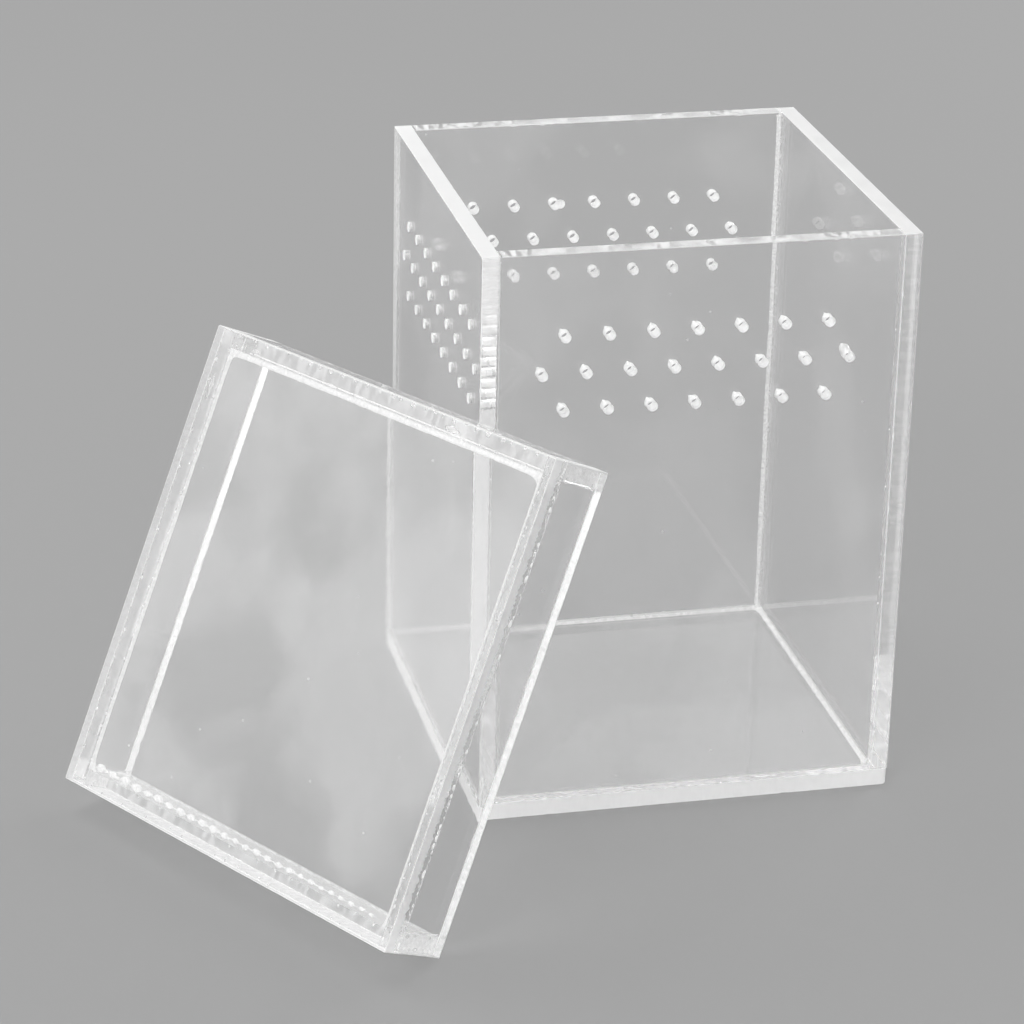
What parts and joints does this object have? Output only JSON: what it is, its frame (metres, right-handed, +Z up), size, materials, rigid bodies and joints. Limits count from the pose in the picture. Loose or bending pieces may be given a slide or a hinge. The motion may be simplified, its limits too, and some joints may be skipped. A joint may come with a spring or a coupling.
{
  "type": "queen cage",
  "caption": "Clear acrylic insect cage: an open-topped box with drilled vent holes near its rim, and a loose cap lid that leans against it.",
  "frame": {"origin": "centre of the underside of the box's floor, on the surface that it stands on", "axes": "+X to the right along the front wall, +Y from the front wall to the back wall, +Z up; the lid leans on the box's front left edge"},
  "size_m": [0.1393, 0.121, 0.1],
  "materials": {
    "clear_acrylic": "clear cast acrylic sheet with polished faces and matt sawn edges",
    "acrylic_cement": "set solvent cement with trapped bubbles"
  },
  "bodies": {
    "cage": {"floor_panel": "clear_acrylic", "left_wall": "clear_acrylic", "right_wall": "clear_acrylic", "front_wall": "clear_acrylic", "back_wall": "clear_acrylic", "front_left_seam": "acrylic_cement", "front_right_seam": "acrylic_cement", "back_left_seam": "acrylic_cement", "back_right_seam": "acrylic_cement", "left_floor_seam": "acrylic_cement", "right_floor_seam": "acrylic_cement", "front_floor_seam": "acrylic_cement", "back_floor_seam": "acrylic_cement"},
    "lid": {"lid_plate": "clear_acrylic", "lid_front_strip": "clear_acrylic", "lid_back_strip": "clear_acrylic", "lid_left_strip": "clear_acrylic", "lid_right_strip": "clear_acrylic", "lid_front_plate_seam": "acrylic_cement", "lid_back_plate_seam": "acrylic_cement", "lid_left_plate_seam": "acrylic_cement", "lid_right_plate_seam": "acrylic_cement", "lid_front_left_seam": "acrylic_cement", "lid_front_right_seam": "acrylic_cement", "lid_back_left_seam": "acrylic_cement", "lid_back_right_seam": "acrylic_cement"}
  },
  "joints": [
    {"name": "lid_lift", "type": "slide", "parent": "cage", "child": "lid", "axis": [0, 0, 1], "range_m": [0, 0.12]}
  ]
}
